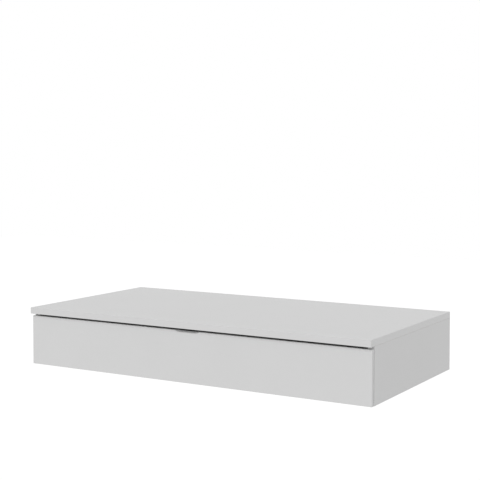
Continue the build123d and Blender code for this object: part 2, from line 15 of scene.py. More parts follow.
import bmesh
import bpy
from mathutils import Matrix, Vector

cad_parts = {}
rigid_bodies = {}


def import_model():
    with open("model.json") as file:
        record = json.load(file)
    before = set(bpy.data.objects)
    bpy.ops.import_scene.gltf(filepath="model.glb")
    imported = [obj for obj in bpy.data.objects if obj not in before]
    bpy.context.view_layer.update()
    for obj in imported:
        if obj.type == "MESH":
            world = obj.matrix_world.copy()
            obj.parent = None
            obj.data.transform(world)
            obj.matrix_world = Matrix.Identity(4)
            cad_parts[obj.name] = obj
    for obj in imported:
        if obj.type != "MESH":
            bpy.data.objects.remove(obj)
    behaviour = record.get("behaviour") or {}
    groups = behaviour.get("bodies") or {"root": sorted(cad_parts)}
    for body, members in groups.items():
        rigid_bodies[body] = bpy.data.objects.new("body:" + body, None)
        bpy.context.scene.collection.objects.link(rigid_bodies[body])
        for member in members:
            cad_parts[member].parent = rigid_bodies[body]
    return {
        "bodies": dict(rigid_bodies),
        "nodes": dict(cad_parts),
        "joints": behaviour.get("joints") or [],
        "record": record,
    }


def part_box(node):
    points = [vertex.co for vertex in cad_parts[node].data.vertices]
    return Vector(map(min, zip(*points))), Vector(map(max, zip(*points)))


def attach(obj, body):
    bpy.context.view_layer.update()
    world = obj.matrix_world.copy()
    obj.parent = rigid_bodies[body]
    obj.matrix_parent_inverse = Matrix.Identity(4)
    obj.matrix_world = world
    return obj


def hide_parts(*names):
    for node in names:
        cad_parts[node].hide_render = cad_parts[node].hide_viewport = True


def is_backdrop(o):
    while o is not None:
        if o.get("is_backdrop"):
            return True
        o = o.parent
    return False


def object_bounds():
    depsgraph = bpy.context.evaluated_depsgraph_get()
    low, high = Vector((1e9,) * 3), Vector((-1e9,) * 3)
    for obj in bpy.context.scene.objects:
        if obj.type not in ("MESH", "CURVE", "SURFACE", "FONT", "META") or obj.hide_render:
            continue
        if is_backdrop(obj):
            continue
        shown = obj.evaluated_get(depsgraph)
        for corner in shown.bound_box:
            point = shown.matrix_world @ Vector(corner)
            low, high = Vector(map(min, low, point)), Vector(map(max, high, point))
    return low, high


Colour = tuple[float, float, float]
Value = float | Sequence[float] | bpy.types.NodeSocket
Ring = Callable[[float], tuple[float, float]]

MILLIMETRE = 0.001

log = logging.getLogger("sideboard")


def grey(level: float) -> Colour:
    """A neutral colour of one level, scene linear."""
    return (level, level, level)


def opaque(colour: Colour) -> tuple[float, float, float, float]:
    """The colour with a full alpha, as colour sockets take it."""
    return (*colour, 1.0)


class Axis(Enum):
    """The direction that a board's thickness, a strip's length or a grain runs in."""

    ACROSS = (1.0, 0.0, 0.0)
    OUT = (0.0, -1.0, 0.0)
    UP = (0.0, 0.0, 1.0)

    def reach(self, node: str) -> tuple[float, float]:
        """The lowest and highest place of a CAD node along this axis.

        Args:
            node: the node's name.

        Returns:
            Both ends, in metres.
        """
        low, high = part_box(node)
        ends = sorted((low.dot(Vector(self.value)), high.dot(Vector(self.value))))
        return ends[0], ends[1]


class Graph:
    """A node tree, with calls that add a node and link it in one line."""

    def __init__(self, tree: bpy.types.NodeTree) -> None:
        """Empty the tree and keep it.

        Args:
            tree: the tree of a material, a group or the world.
        """
        tree.nodes.clear()
        self.tree = tree

    def add(
        self, kind: str, values: Mapping[str | int, Value] | None = None, **settings: object
    ) -> bpy.types.Node:
        """Add one node.

        Args:
            kind: the node's type, without the words ShaderNode.
            values: for each input's name or number, a plain value or the socket that feeds it.
            settings: the node's own settings.

        Returns:
            The new node.
        """
        name = kind if kind.startswith("NodeGroup") else f"ShaderNode{kind}"
        node = self.tree.nodes.new(name)
        for setting, choice in settings.items():
            setattr(node, setting, choice)
        for key, value in (values or {}).items():
            if isinstance(value, bpy.types.NodeSocket):
                self.tree.links.new(value, node.inputs[key])
            else:
                node.inputs[key].default_value = value
        return node

    def math(self, operation: str, *values: Value) -> bpy.types.NodeSocket:
        """Work out a number from one to three others."""
        return self.add("Math", dict(enumerate(values)), operation=operation).outputs[0]

    def vector(self, operation: str, *values: Value) -> bpy.types.Node:
        """Add a vector sum; its outputs are Vector and Value."""
        return self.add("VectorMath", dict(enumerate(values)), operation=operation)

    def mix(self, factor: Value, first: Value, second: Value) -> bpy.types.NodeSocket:
        """Blend two colours, from the first at 0 to the second at 1."""
        node = self.add("Mix", {0: factor, 6: first, 7: second}, data_type="RGBA")
        return node.outputs[2]

    def blend(self, factor: Value, first: Value, second: Value) -> bpy.types.NodeSocket:
        """Blend two numbers, from the first at 0 to the second at 1."""
        return self.add("Mix", {0: factor, 2: first, 3: second}, data_type="FLOAT").outputs[0]

    def ramp(self, value: Value, low: float, high: float) -> bpy.types.NodeSocket:
        """Stretch a number so that low gives 0 and high gives 1, with soft ends."""
        node = self.add(
            "MapRange",
            {"Value": value, "From Min": low, "From Max": high},
            interpolation_type="SMOOTHSTEP",
        )
        return node.outputs["Result"]

    def noise(self, vector: Value, scale: Value, detail: float = 2.0) -> bpy.types.NodeSocket:
        """Noise from 0 to 1 at a place."""
        values = {"Vector": vector, "Scale": scale, "Detail": detail}
        return self.add("TexNoise", values).outputs["Fac"]

    def group(self, tree: bpy.types.NodeTree, values: Mapping[str, Value]) -> bpy.types.Node:
        """Place a group in this tree with its own values."""
        return self.add("Group", values, node_tree=tree)


class Socket(Enum):
    """The kinds of socket that the groups have."""

    NUMBER = "NodeSocketFloat"
    COLOUR = "NodeSocketColor"
    PLACE = "NodeSocketVector"


def start_group(
    name: str, inputs: Mapping[str, Socket], outputs: Mapping[str, Socket]
) -> tuple[Graph, bpy.types.Node, bpy.types.Node]:
    """Start a shader node group with named sockets.

    Args:
        name: the group's name.
        inputs: each input's name and kind.
        outputs: each output's name and kind.

    Returns:
        The group's graph, its input node and its output node.
    """
    tree = bpy.data.node_groups.new(name, "ShaderNodeTree")
    graph = Graph(tree)
    for label, kind in inputs.items():
        tree.interface.new_socket(name=label, in_out="INPUT", socket_type=kind.value)
    for label, kind in outputs.items():
        tree.interface.new_socket(name=label, in_out="OUTPUT", socket_type=kind.value)
    return graph, graph.add("NodeGroupInput"), graph.add("NodeGroupOutput")


class Effects:
    """The shader node groups that several finishes share, each built once."""

    cloud_scale = 7.0
    cloud_ends = (0.3, 0.7)
    ripple_scale_share = 0.24
    ripple_weight = 0.6
    chip_squash = 1.5
    coarse_chips = 1.0
    fine_chips = 2.6
    chip_gap_ends = (0.25, 0.75)
    fine_layer_ends = (2.0 * MILLIMETRE, 4.0 * MILLIMETRE)
    square_on_limit = 0.7
    plating_scale = 60.0
    plating_ends = (0.35, 0.65)
    ring_scale = 0.12
    ring_count = 9.0
    late_wood_ends = (0.35, 0.95)
    pore_scale = 2.4
    pore_ends = (0.45, 0.7)
    pore_weight = 0.35

    def __init__(self) -> None:
        """Build every group."""
        self.satin = self._satin()
        self.section = self._section()
        self.rolled = self._rolled()
        self.grain = self._grain()

    @classmethod
    def _satin(cls) -> bpy.types.NodeTree:
        """The fine pearl of a pressed or moulded surface, with a faint cloudiness.

        Returns:
            The group, with Color, Roughness and Height.
        """
        graph, given, made = start_group(
            "Satin Surface",
            {
                "Position": Socket.PLACE,
                "Pearl Scale": Socket.NUMBER,
                "Tone Low": Socket.COLOUR,
                "Tone High": Socket.COLOUR,
                "Roughness Low": Socket.NUMBER,
                "Roughness High": Socket.NUMBER,
            },
            {"Color": Socket.COLOUR, "Roughness": Socket.NUMBER, "Height": Socket.NUMBER},
        )
        place = given.outputs["Position"]
        pearl = graph.noise(place, given.outputs["Pearl Scale"], detail=3.0)
        coarse_scale = graph.math(
            "MULTIPLY", given.outputs["Pearl Scale"], cls.ripple_scale_share
        )
        ripple = graph.noise(place, coarse_scale)
        cloud = graph.ramp(graph.noise(place, cls.cloud_scale, detail=4.0), *cls.cloud_ends)
        height = graph.math("ADD", pearl, graph.math("MULTIPLY", ripple, cls.ripple_weight))
        colour = graph.mix(cloud, given.outputs["Tone Low"], given.outputs["Tone High"])
        rough = graph.blend(
            graph.math("MULTIPLY", graph.math("ADD", pearl, cloud), 0.5),
            given.outputs["Roughness Low"],
            given.outputs["Roughness High"],
        )
        graph.tree.links.new(colour, made.inputs["Color"])
        graph.tree.links.new(rough, made.inputs["Roughness"])
        graph.tree.links.new(height, made.inputs["Height"])
        return graph.tree

    @classmethod
    def _section(cls) -> bpy.types.NodeTree:
        """Which of a board's surface is its faces, and the pressed chips of what was cut.

        Returns:
            The group, with Face, Core Color and Core Height.
        """
        graph, given, made = start_group(
            "Board Section",
            {
                "Position": Socket.PLACE,
                "Normal": Socket.PLACE,
                "Axis": Socket.PLACE,
                "Low": Socket.NUMBER,
                "High": Socket.NUMBER,
                "Film": Socket.NUMBER,
                "Chip Scale": Socket.NUMBER,
                "Chip Dark": Socket.COLOUR,
                "Chip Light": Socket.COLOUR,
                "Film Color": Socket.COLOUR,
            },
            {"Face": Socket.NUMBER, "Core Color": Socket.COLOUR, "Core Height": Socket.NUMBER},
        )
        place = given.outputs["Position"]
        axis = given.outputs["Axis"]
        across = graph.vector("DOT_PRODUCT", place, axis).outputs["Value"]
        turned = graph.vector("DOT_PRODUCT", given.outputs["Normal"], axis).outputs["Value"]
        above_low = graph.math("SUBTRACT", across, given.outputs["Low"])
        below_high = graph.math("SUBTRACT", given.outputs["High"], across)
        depth = graph.math("MINIMUM", above_low, below_high)
        at_face = graph.math("LESS_THAN", depth, given.outputs["Film"])
        square_on = graph.math(
            "GREATER_THAN", graph.math("ABSOLUTE", turned), cls.square_on_limit
        )
        face = graph.math("MULTIPLY", at_face, square_on)
        stretch = graph.vector("SCALE", axis)
        squash = graph.math("MULTIPLY", across, cls.chip_squash)
        graph.tree.links.new(squash, stretch.inputs["Scale"])
        laid = graph.vector("ADD", place, stretch.outputs["Vector"]).outputs["Vector"]
        tones = []
        for share in (cls.coarse_chips, cls.fine_chips):
            scale = graph.math("MULTIPLY", given.outputs["Chip Scale"], share)
            chips = graph.add("TexVoronoi", {"Vector": laid, "Scale": scale})
            tone = graph.add("SeparateColor", {"Color": chips.outputs["Color"]}).outputs[0]
            gap = graph.ramp(chips.outputs["Distance"], *cls.chip_gap_ends)
            tones.append(graph.math("MULTIPLY", tone, graph.math("SUBTRACT", 1.0, gap)))
        inner = graph.ramp(depth, *cls.fine_layer_ends)
        tone = graph.blend(inner, tones[1], tones[0])
        core = graph.mix(tone, given.outputs["Chip Dark"], given.outputs["Chip Light"])
        colour = graph.mix(at_face, core, given.outputs["Film Color"])
        graph.tree.links.new(face, made.inputs["Face"])
        graph.tree.links.new(colour, made.inputs["Core Color"])
        graph.tree.links.new(tone, made.inputs["Core Height"])
        return graph.tree

    @classmethod
    def _rolled(cls) -> bpy.types.NodeTree:
        """Fine streaks along a rolled or turned metal surface, with cloudy plating.

        Returns:
            The group, with Color, Roughness and Height.
        """
        graph, given, made = start_group(
            "Rolled Metal",
            {
                "Position": Socket.PLACE,
                "Stretch": Socket.PLACE,
                "Tone Low": Socket.COLOUR,
                "Tone High": Socket.COLOUR,
                "Roughness Low": Socket.NUMBER,
                "Roughness High": Socket.NUMBER,
            },
            {"Color": Socket.COLOUR, "Roughness": Socket.NUMBER, "Height": Socket.NUMBER},
        )
        place = given.outputs["Position"]
        drawn = graph.vector("MULTIPLY", place, given.outputs["Stretch"]).outputs["Vector"]
        streak = graph.noise(drawn, 1.0, detail=4.0)
        plating = graph.ramp(
            graph.noise(place, cls.plating_scale, detail=5.0), *cls.plating_ends
        )
        tone = graph.math("MULTIPLY", graph.math("ADD", streak, plating), 0.5)
        colour = graph.mix(tone, given.outputs["Tone Low"], given.outputs["Tone High"])
        rough = graph.blend(
            streak, given.outputs["Roughness Low"], given.outputs["Roughness High"]
        )
        graph.tree.links.new(colour, made.inputs["Color"])
        graph.tree.links.new(rough, made.inputs["Roughness"])
        graph.tree.links.new(streak, made.inputs["Height"])
        return graph.tree

    @classmethod
    def _grain(cls) -> bpy.types.NodeTree:
        """Sawn wood: growth rings cut lengthways, with short pores.

        Returns:
            The group, with Color and Height.
        """
        graph, given, made = start_group(
            "Sawn Grain",
            {
                "Position": Socket.PLACE,
                "Stretch": Socket.PLACE,
                "Early Wood": Socket.COLOUR,
                "Late Wood": Socket.COLOUR,
            },
            {"Color": Socket.COLOUR, "Height": Socket.NUMBER},
        )
        place = given.outputs["Position"]
        drawn = graph.vector("MULTIPLY", place, given.outputs["Stretch"]).outputs["Vector"]
        bend = graph.noise(drawn, cls.ring_scale)
        rings = graph.math("FRACT", graph.math("MULTIPLY", bend, cls.ring_count))
        late = graph.ramp(rings, *cls.late_wood_ends)
        pores = graph.ramp(graph.noise(drawn, cls.pore_scale, detail=5.0), *cls.pore_ends)
        late_share = graph.math("MULTIPLY", late, 1.0 - cls.pore_weight)
        tone = graph.math("MULTIPLY_ADD", pores, cls.pore_weight, late_share)
        colour = graph.mix(tone, given.outputs["Early Wood"], given.outputs["Late Wood"])
        graph.tree.links.new(colour, made.inputs["Color"])
        graph.tree.links.new(tone, made.inputs["Height"])
        return graph.tree


def start_material(name: str) -> tuple[bpy.types.Material, Graph, bpy.types.Node]:
    """Start a material, with its output and the place on the object.

    Args:
        name: the material's name.

    Returns:
        The material, its graph and its texture coordinate node.
    """
    material = bpy.data.materials.new(name)
    material.use_nodes = True
    graph = Graph(material.node_tree)
    return material, graph, graph.add("TexCoord")


def finish_material(
    graph: Graph, inputs: Mapping[str, Value], height: Value, relief: float
) -> None:
    """Close a material with a Principled shader and a bump.

    Args:
        graph: the material's graph.
        inputs: the shader's own values and what feeds them.
        height: what the bump follows.
        relief: how deep the bump is, in metres.
    """
    bump = graph.add("Bump", {"Height": height, "Distance": relief, "Strength": 1.0})
    shader = graph.add("BsdfPrincipled", {**inputs, "Normal": bump.outputs["Normal"]})
    graph.add("OutputMaterial", {"Surface": shader.outputs["BSDF"]})


@dataclass(frozen=True)
class Satin:
    """A plain satin surface: edge band, lacquer or moulded plastic."""

    name: str
    low: Colour
    high: Colour
    roughness: tuple[float, float]
    pearl: float = 900.0
    relief: float = 0.02 * MILLIMETRE
    specular: float = 0.5

    def build(self, effects: Effects) -> bpy.types.Material:
        """Make the material.

        Args:
            effects: the shared groups.

        Returns:
            The material.
        """
        material, graph, place = start_material(self.name)
        satin = graph.group(effects.satin, self.values(place))
        inputs = {
            "Base Color": satin.outputs["Color"],
            "Roughness": satin.outputs["Roughness"],
            "Specular IOR Level": self.specular,
        }
        finish_material(graph, inputs, satin.outputs["Height"], self.relief)
        return material

    def values(self, place: bpy.types.Node) -> dict[str, Value]:
        """What the satin group takes for this finish."""
        return {
            "Position": place.outputs["Object"],
            "Pearl Scale": self.pearl,
            "Tone Low": opaque(self.low),
            "Tone High": opaque(self.high),
            "Roughness Low": self.roughness[0],
            "Roughness High": self.roughness[1],
        }


@dataclass(frozen=True)
class Core:
    """What a board is pressed from, seen where it is cut or drilled."""

    dark: Colour
    light: Colour
    chip_scale: float
    relief: float


@dataclass(frozen=True)
class FacedBoard:
    """A board with a satin film on its faces and a bare core at its cut edges and holes."""

    face: Satin
    core: Core
    axis: Axis
    both_faces: bool = True
    film: float = 0.15 * MILLIMETRE
    core_roughness: float = 0.88
    out_of_reach: float = 1.0

    def build(self, effects: Effects, node: str) -> bpy.types.Material:
        """Make the material for one board.

        Args:
            effects: the shared groups.
            node: the board's CAD node, which gives where its faces lie.

        Returns:
            The material.
        """
        low, high = self.axis.reach(node)
        if not self.both_faces:
            low -= self.out_of_reach
        material, graph, place = start_material(f"{self.face.name}_{node}")
        satin = graph.group(effects.satin, self.face.values(place))
        section = graph.group(
            effects.section,
            {
                "Position": place.outputs["Object"],
                "Normal": place.outputs["Normal"],
                "Axis": self.axis.value,
                "Low": low,
                "High": high,
                "Film": self.film,
                "Chip Scale": self.core.chip_scale,
                "Chip Dark": opaque(self.core.dark),
                "Chip Light": opaque(self.core.light),
                "Film Color": opaque(self.face.high),
            },
        )
        on_face = section.outputs["Face"]
        film_height = graph.math("MULTIPLY", satin.outputs["Height"], self.face.relief)
        core_height = graph.math("MULTIPLY", section.outputs["Core Height"], self.core.relief)
        inputs = {
            "Base Color": graph.mix(
                on_face, section.outputs["Core Color"], satin.outputs["Color"]
            ),
            "Roughness": graph.blend(on_face, self.core_roughness, satin.outputs["Roughness"]),
            "Specular IOR Level": self.face.specular,
        }
        finish_material(graph, inputs, graph.blend(on_face, core_height, film_height), 1.0)
        return material


@dataclass(frozen=True)
class Metal:
    """Zinc-plated steel, die-cast zinc or polished steel."""

    name: str
    low: Colour
    high: Colour
    roughness: tuple[float, float]
    stretch: tuple[float, float, float] = (900.0, 25.0, 900.0)
    relief: float = 0.01 * MILLIMETRE

    def build(self, effects: Effects) -> bpy.types.Material:
        """Make the material.

        Args:
            effects: the shared groups.

        Returns:
            The material.
        """
        material, graph, place = start_material(self.name)
        rolled = graph.group(
            effects.rolled,
            {
                "Position": place.outputs["Object"],
                "Stretch": self.stretch,
                "Tone Low": opaque(self.low),
                "Tone High": opaque(self.high),
                "Roughness Low": self.roughness[0],
                "Roughness High": self.roughness[1],
            },
        )
        inputs = {
            "Base Color": rolled.outputs["Color"],
            "Roughness": rolled.outputs["Roughness"],
            "Metallic": 1.0,
        }
        finish_material(graph, inputs, rolled.outputs["Height"], self.relief)
        return material


@dataclass(frozen=True)
class Wood:
    """Bare wood with its grain along one axis."""

    name: str
    early: Colour
    late: Colour
    stretch: tuple[float, float, float]
    relief: float = 0.05 * MILLIMETRE
    roughness: float = 0.72
    specular: float = 0.3

    def build(self, effects: Effects) -> bpy.types.Material:
        """Make the material.

        Args:
            effects: the shared groups.

        Returns:
            The material.
        """
        material, graph, place = start_material(self.name)
        grain = graph.group(
            effects.grain,
            {
                "Position": place.outputs["Object"],
                "Stretch": self.stretch,
                "Early Wood": opaque(self.early),
                "Late Wood": opaque(self.late),
            },
        )
        inputs = {
            "Base Color": grain.outputs["Color"],
            "Roughness": self.roughness,
            "Specular IOR Level": self.specular,
        }
        finish_material(graph, inputs, grain.outputs["Height"], self.relief)
        return material


@dataclass(frozen=True)
class ClearPad:
    """Soft see-through plastic."""

    name: str
    colour: Colour = (0.86, 0.86, 0.84)
    roughness: tuple[float, float] = (0.25, 0.35)
    pearl: float = 600.0
    refraction: float = 1.45
    clearness: float = 0.6

    def build(self, effects: Effects) -> bpy.types.Material:
        """Make the material.

        Args:
            effects: the shared groups.

        Returns:
            The material.
        """
        material, graph, place = start_material(self.name)
        satin = Satin(self.name, self.colour, self.colour, self.roughness, self.pearl)
        skin = graph.group(effects.satin, satin.values(place))
        inputs = {
            "Base Color": opaque(self.colour),
            "Roughness": skin.outputs["Roughness"],
            "IOR": self.refraction,
            "Transmission Weight": self.clearness,
        }
        finish_material(graph, inputs, skin.outputs["Height"], satin.relief)
        return material


FACE = Satin("satin_white_board", grey(0.640), grey(0.650), (0.52, 0.60), specular=0.3)
BAND = Satin("satin_white_band", grey(0.640), grey(0.650), (0.46, 0.54), 700.0, specular=0.3)
LACQUER = Satin("satin_white_front", grey(0.640), grey(0.650), (0.50, 0.58), 500.0, specular=0.3)
THIN_FACE = Satin("thin_white_face", grey(0.600), grey(0.615), (0.58, 0.66), specular=0.25)
CAP = Satin("white_cap", grey(0.66), grey(0.68), (0.3, 0.36), 500.0)
BLACK = Satin(
    "black_plastic", grey(0.012), grey(0.018), (0.42, 0.52), 1100.0, 0.06 * MILLIMETRE
)
CHIPBOARD = Core((0.20, 0.12, 0.06), (0.60, 0.43, 0.25), 420.0, 0.25 * MILLIMETRE)
FIBREBOARD = Core((0.16, 0.09, 0.045), (0.24, 0.14, 0.075), 1500.0, 0.06 * MILLIMETRE)
ZINC = Metal("zinc_plated_steel", (0.42, 0.43, 0.44), (0.58, 0.59, 0.60), (0.26, 0.42))
CAST = Metal(
    "cast_zinc",
    grey(0.36),
    grey(0.46),
    (0.42, 0.58),
    (500.0, 500.0, 500.0),
    0.05 * MILLIMETRE,
)
BALL = Metal("polished_steel", grey(0.60), grey(0.66), (0.08, 0.12), (90.0, 90.0, 90.0), 0.0)
PINE = Wood("sawn_pine", (0.62, 0.44, 0.24), (0.42, 0.24, 0.10), (260.0, 9.0, 260.0))
BEECH = Wood("turned_beech", (0.56, 0.38, 0.22), (0.42, 0.26, 0.14), (300.0, 300.0, 300.0))
PAD = ClearPad("clear_pad")


@dataclass(frozen=True)
class Stand:
    """Where a turned piece stands: the middle of its head, the way it points, and its size."""

    head: Vector
    into: Vector
    length: float
    radius: float
    rim_width: ClassVar[float] = 0.02 * MILLIMETRE

    @classmethod
    def of(cls, corners: Sequence[Vector]) -> "Stand":
        """Find how one round solid of the CAD stands.

        Args:
            corners: the solid's corners.

        Returns:
            Its stand, with the head at its wider end.
        """
        low = Vector([min(corner[i] for corner in corners) for i in range(3)])
        high = Vector([max(corner[i] for corner in corners) for i in range(3)])
        size = high - low
        along = min(range(3), key=lambda i: abs(size[(i + 1) % 3] - size[(i + 2) % 3]))
        middle = (low + high) / 2
        into = Vector([float(i == along) for i in range(3)])

        def reach(corner: Vector) -> float:
            """How far a corner is from the axis."""
            off = corner - middle
            return (off - off.dot(into) * into).length

        widest = max(map(reach, corners))
        rim = [corner for corner in corners if reach(corner) > widest - cls.rim_width]
        lean = sum((corner - middle).dot(into) for corner in rim) / len(rim)
        if lean > 0.0:
            into = -into
        length = size[along]
        return cls(middle - into * length / 2, into, length, widest)


def solids_of(piece: bpy.types.Object, decimals: int = 6) -> list[list[Vector]]:
    """Tell apart the solids of a CAD node that holds several.

    Args:
        piece: the node's object.
        decimals: how exactly two corners agree where faces join, in decimals of a metre.

    Returns:
        The corners of each solid.
    """
    mesh = piece.data
    keys = [tuple(round(value, decimals) for value in vertex.co) for vertex in mesh.vertices]
    owner = {key: key for key in keys}

    def first_of(key: tuple[float, ...]) -> tuple[float, ...]:
        """The corner that stands for all that are joined to this one."""
        while owner[key] != key:
            owner[key] = owner[owner[key]]
            key = owner[key]
        return key

    for face in mesh.polygons:
        lead = first_of(keys[face.vertices[0]])
        for index in face.vertices[1:]:
            owner[first_of(keys[index])] = lead
    groups: dict[tuple[float, ...], list[Vector]] = {}
    for key in owner:
        groups.setdefault(first_of(key), []).append(Vector(key))
    return list(groups.values())


def plain_ring(radius: float, below: float) -> Ring:
    """A round ring at one distance below the head."""
    return lambda angle: (radius, below)


class Skin:
    """A mesh of closed pieces, each skinned over a row of rings."""

    recess_arms = 4.0

    def __init__(self, segments: int, crowding: float = 0.0) -> None:
        """Start an empty mesh.

        Args:
            segments: how many faces go round each piece.
            crowding: how far the corners move towards the arms of a cross recess, from 0 to 0.25.
        """
        self.segments = segments
        self.crowding = crowding
        self.shape = bmesh.new()

    def turn(self, stand: Stand, rings: Sequence[Ring]) -> None:
        """Skin rings that lie round an axis, from head to tip.

        Args:
            stand: where the piece stands.
            rings: for each ring, its radius and its distance below the head at an angle.
        """
        side = stand.into.orthogonal().normalized()
        other = stand.into.cross(side)
        loops = []
        for ring in rings:
            loop = []
            for step in range(self.segments):
                even = math.tau * step / self.segments
                angle = even - self.crowding * math.sin(self.recess_arms * even)
                radius, below = ring(angle)
                out = side * math.cos(angle) + other * math.sin(angle)
                loop.append(stand.head + out * radius + stand.into * below)
            loops.append(loop)
        self.loft(loops)

    def loft(self, loops: Sequence[Sequence[Vector]]) -> None:
        """Skin closed loops in their order, closed at both ends.

        Args:
            loops: the corners of each loop, as many as the mesh has segments.
        """
        rows = [[self.shape.verts.new(corner) for corner in loop] for loop in loops]
        for upper, lower in zip(rows, rows[1:]):
            for step in range(self.segments):
                after = (step + 1) % self.segments
                face = (upper[step], upper[after], lower[after], lower[step])
                self.shape.faces.new(face)
        self.shape.faces.new(reversed(rows[0]))
        self.shape.faces.new(rows[-1])

    def build(self, name: str, crease: float = 35.0) -> bpy.types.Object:
        """Make the object, smooth but for its sharp edges.

        Args:
            name: the piece's name.
            crease: the angle from which an edge stays sharp, in degrees.

        Returns:
            The piece, linked to the scene.
        """
        bmesh.ops.recalc_face_normals(self.shape, faces=self.shape.faces)
        for face in self.shape.faces:
            face.smooth = True
        for edge in self.shape.edges:
            edge.smooth = edge.calc_face_angle(0.0) < math.radians(crease)
        mesh = bpy.data.meshes.new(name)
        self.shape.to_mesh(mesh)
        self.shape.free()
        piece = bpy.data.objects.new(name, mesh)
        bpy.context.scene.collection.objects.link(piece)
        return piece


@dataclass(frozen=True)
class Thread:
    """A rolled thread: a ridge that winds round a core and takes up half of each turn."""

    crest: float
    core: float
    pitch: float
    run_out: float
    least: float
    rings_a_turn: int = 8

    def rings(self, start: float, end: float, first: int = 0) -> list[Ring]:
        """The rings of the thread, which runs out at its end.

        Args:
            start: where it starts, below the head.
            end: where the piece ends, below the head.
            first: the number of the first ring that is made.

        Returns:
            Its rings.
        """
        steps = math.ceil((end - start) / (self.pitch / self.rings_a_turn))
        belows = (start + (end - start) * step / steps for step in range(first, steps + 1))
        return [self._ring(below, end) for below in belows]

    def _ring(self, below: float, end: float) -> Ring:
        """One ring.

        Args:
            below: the ring's distance below the head.
            end: where the piece ends, below the head.

        Returns:
            The ring.
        """
        taper = min(1.0, max(self.least, (end - below) / self.run_out))

        def ring(angle: float) -> tuple[float, float]:
            """The ridge's flanks rise and fall evenly."""
            turn = (below / self.pitch - angle / math.tau) % 1.0
            rise = max(0.0, 1.0 - 4.0 * abs(turn - 0.5))
            return taper * (self.core + (self.crest - self.core) * rise), below

        return ring


@dataclass(frozen=True, kw_only=True)
class Fixing:
    """A turned, rolled or moulded piece, told by the rings that its skin lies on."""

    segments: int = 48
    crowding: float = 0.0

    def rings(self, stand: Stand) -> list[Ring]:
        """The rings of one piece, from its head to its other end.

        Args:
            stand: where the piece stands.

        Returns:
            Its rings.
        """
        raise NotImplementedError


class Head(Enum):
    """How a screw's head is made."""

    PAN = "pan"
    SUNK = "sunk"


@dataclass(frozen=True, kw_only=True)
class Screw(Fixing):
    """A cross-recessed screw with a rolled thread."""

    head: Head
    thread: Thread = Thread(
        crest=1.75 * MILLIMETRE,
        core=1.2 * MILLIMETRE,
        pitch=1.5 * MILLIMETRE,
        run_out=2.6 * MILLIMETRE,
        least=0.03,
    )
    plain_neck: float = 0.6 * MILLIMETRE
    pan_height: float = 2.0 * MILLIMETRE
    pan_dome: float = 1.2 * MILLIMETRE
    cross_reach: float = 1.75 * MILLIMETRE
    cross_slope: float = 0.9625 * MILLIMETRE
    cross_half: float = 0.42 * MILLIMETRE
    cross_wall: float = 0.10 * MILLIMETRE
    cross_depth: float = 1.1 * MILLIMETRE
    top_rings: int = 24
    crowding: float = 0.2

    def rings(self, stand: Stand) -> list[Ring]:
        """The head's top, its side, the neck and the thread."""
        shares = range(1, self.top_rings + 1)
        rings = [self._top(stand.radius, share / self.top_rings) for share in shares]
        core = self.thread.core
        if self.head is Head.PAN:
            rings.append(plain_ring(stand.radius, self.pan_height))
            neck = self.pan_height
        else:
            neck = stand.radius - core
        rings.append(plain_ring(core, neck))
        return rings + self.thread.rings(neck + self.plain_neck, stand.length)

    def _top(self, radius: float, share: float) -> Ring:
        """A ring of the head's top, with the cross recess sunk into it.

        Args:
            radius: the head's radius.
            share: how far out the ring is, up to 1 at the rim.

        Returns:
            The ring.
        """
        reach = radius * share
        dome = self.pan_dome * share**4 if self.head is Head.PAN else 0.0

        def ring(angle: float) -> tuple[float, float]:
            """The recess's depth falls off past its arms and along them."""
            aside = reach * min(abs(math.cos(angle)), abs(math.sin(angle)))
            inside = min(1.0, max(0.0, (self.cross_half - aside) / self.cross_wall + 0.5))
            along = min(1.0, max(0.0, (self.cross_reach - reach) / self.cross_slope))
            return reach, dome + self.cross_depth * inside * along

        return ring


@dataclass(frozen=True, kw_only=True)
class CamBolt(Fixing):
    """The bolt that a cam pulls on, with a coarse thread in the other board."""

    thread: Thread = Thread(
        crest=2.5 * MILLIMETRE,
        core=1.7 * MILLIMETRE,
        pitch=2.4 * MILLIMETRE,
        run_out=2.0 * MILLIMETRE,
        least=0.45,
    )
    thread_length: float = 11.0 * MILLIMETRE
    head_length: float = 4.0 * MILLIMETRE
    neck: float = 2.0 * MILLIMETRE
    neck_length: float = 4.0 * MILLIMETRE
    shank: float = 3.0 * MILLIMETRE
    rounding: float = 0.5 * MILLIMETRE
    face: tuple[tuple[float, float], ...] = (
        (1.5 * MILLIMETRE, 0.0),
        (0.5 * MILLIMETRE, 0.2 * MILLIMETRE),
        (0.0, 1.0 * MILLIMETRE),
    )
    step: float = 0.01 * MILLIMETRE
    segments: int = 32

    def rings(self, stand: Stand) -> list[Ring]:
        """The ball head, the neck, the shank and the thread."""
        foot = self.head_length + self.neck_length
        shoulder = stand.length - self.thread_length
        rings = [plain_ring(stand.radius - inset, below) for inset, below in self.face]
        rings += [
            plain_ring(stand.radius, self.head_length - self.rounding),
            plain_ring(self.neck, self.head_length),
            plain_ring(self.neck, foot),
            plain_ring(self.shank, foot + self.rounding),
            plain_ring(self.shank, shoulder),
            plain_ring(self.thread.core, shoulder + self.step),
        ]
        return rings + self.thread.rings(shoulder, stand.length, first=1)


